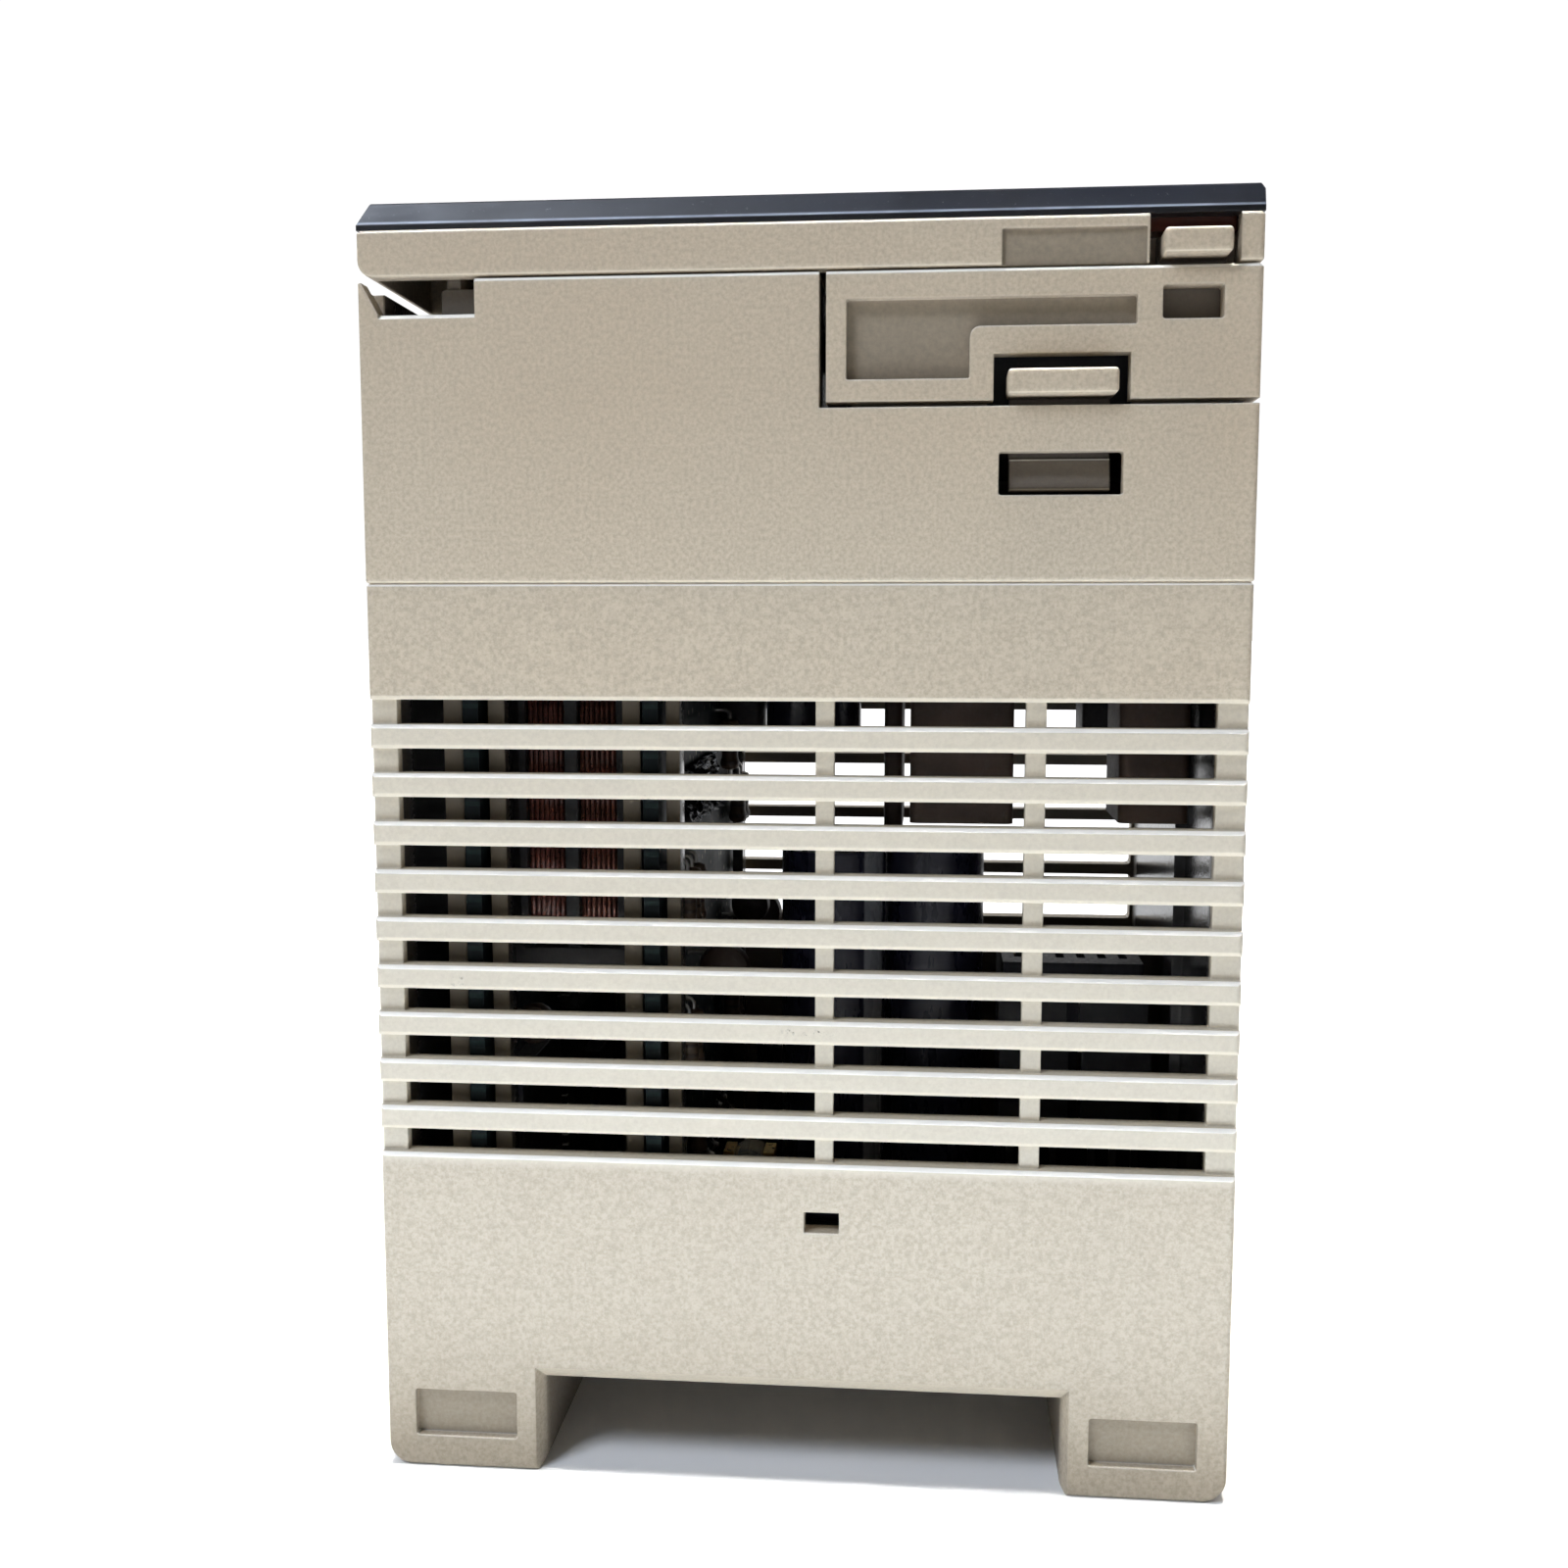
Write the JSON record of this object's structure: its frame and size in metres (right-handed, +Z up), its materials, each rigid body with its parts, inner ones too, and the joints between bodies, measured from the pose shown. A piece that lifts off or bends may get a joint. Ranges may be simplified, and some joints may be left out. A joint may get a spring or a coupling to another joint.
{
  "type": "industrial controller module",
  "caption": "Vented plastic controller module on rear feet, with a hinged front door, snap latches, a terminal cover and boards inside.",
  "frame": {"origin": "under the middle of the feet, on the surface the module stands on", "axes": "+Z up, out through the front door; X along the width with the door hinge at -X; narrow louvres face -Y"},
  "size_m": [0.088, 0.0712, 0.1312],
  "materials": {
    "beige_plastic": "fine moulded grain",
    "black_front": "satin",
    "smoked_filter": "smooth, dark red-brown",
    "black_plastic": "matt",
    "relay_brown": "smooth",
    "steel": "plated",
    "contact_metal": "bright",
    "circuit_board": "solder mask",
    "ferrite": "matt",
    "enamelled_copper": "enamel",
    "capacitor_sleeve": "shrink sleeve",
    "aluminium": "dark anodised",
    "clear_plastic": "clear",
    "grey_knob": "fine grain"
  },
  "bodies": {
    "case": {"lower_case": "beige_plastic", "upper_housing": "beige_plastic", "terminal_cover": "beige_plastic", "front_deck": "beige_plastic", "terminal_block": "black_plastic", "mode_switch_body": "black_plastic", "battery_holder": "black_plastic", "board_headers": "black_plastic", "processor_chips": "black_plastic", "power_transistors": "black_plastic", "transformer_bobbin": "black_plastic", "relays": "relay_brown", "film_capacitor": "relay_brown", "case_screws": "steel", "board_screws": "steel", "service_port": "steel", "coin_battery": "steel", "terminal_screws": "steel", "service_port_pins": "contact_metal", "fuse_clips": "contact_metal", "main_board": "circuit_board", "converter_board": "circuit_board", "front_board": "circuit_board", "filter_board": "circuit_board", "transformer_core": "ferrite", "choke_core": "ferrite", "primary_winding": "enamelled_copper", "secondary_winding": "enamelled_copper", "choke_winding": "enamelled_copper", "bulk_capacitors": "capacitor_sleeve", "output_capacitors": "capacitor_sleeve", "heat_sink": "aluminium", "status_leds": "clear_plastic", "light_pipes": "clear_plastic", "fuse": "clear_plastic"},
    "door": {"door_frame": "beige_plastic", "front_panel": "black_front", "lamp_filter": "smoked_filter", "hinge_pins": "steel"},
    "door_latch_near": {"door_latch_near": "beige_plastic"},
    "door_latch_far": {"door_latch_far": "beige_plastic"},
    "cover_latch_near": {"cover_latch_near": "beige_plastic"},
    "cover_latch_far": {"cover_latch_far": "beige_plastic"},
    "mode_switch_knob": {"mode_switch_knob": "grey_knob"}
  },
  "joints": [
    {"name": "door_hinge", "type": "hinge", "parent": "case", "child": "door", "pos_m": [-0.0418, 0, 0.12605], "axis": [0, -1, 0], "range_deg": [0, 95]},
    {"name": "door_latch_near_press", "type": "hinge", "parent": "door", "child": "door_latch_near", "pos_m": [0.0377, -0.0305, 0.1266], "axis": [1, 0, 0], "range_deg": [0, 5], "stiffness_Nm_per_rad": 0.05},
    {"name": "door_latch_far_press", "type": "hinge", "parent": "door", "child": "door_latch_far", "pos_m": [0.0377, 0.0305, 0.1266], "axis": [-1, 0, 0], "range_deg": [0, 5], "stiffness_Nm_per_rad": 0.05},
    {"name": "cover_latch_near_press", "type": "hinge", "parent": "case", "child": "cover_latch_near", "pos_m": [0.02535, -0.03035, 0.1138], "axis": [1, 0, 0], "range_deg": [0, 5], "stiffness_Nm_per_rad": 0.05},
    {"name": "cover_latch_far_press", "type": "hinge", "parent": "case", "child": "cover_latch_far", "pos_m": [0.02535, 0.03035, 0.1138], "axis": [-1, 0, 0], "range_deg": [0, 5], "stiffness_Nm_per_rad": 0.05},
    {"name": "mode_switch_slide", "type": "slide", "parent": "case", "child": "mode_switch_knob", "axis": [0, 1, 0], "range_m": [0, 0.005]}
  ]
}
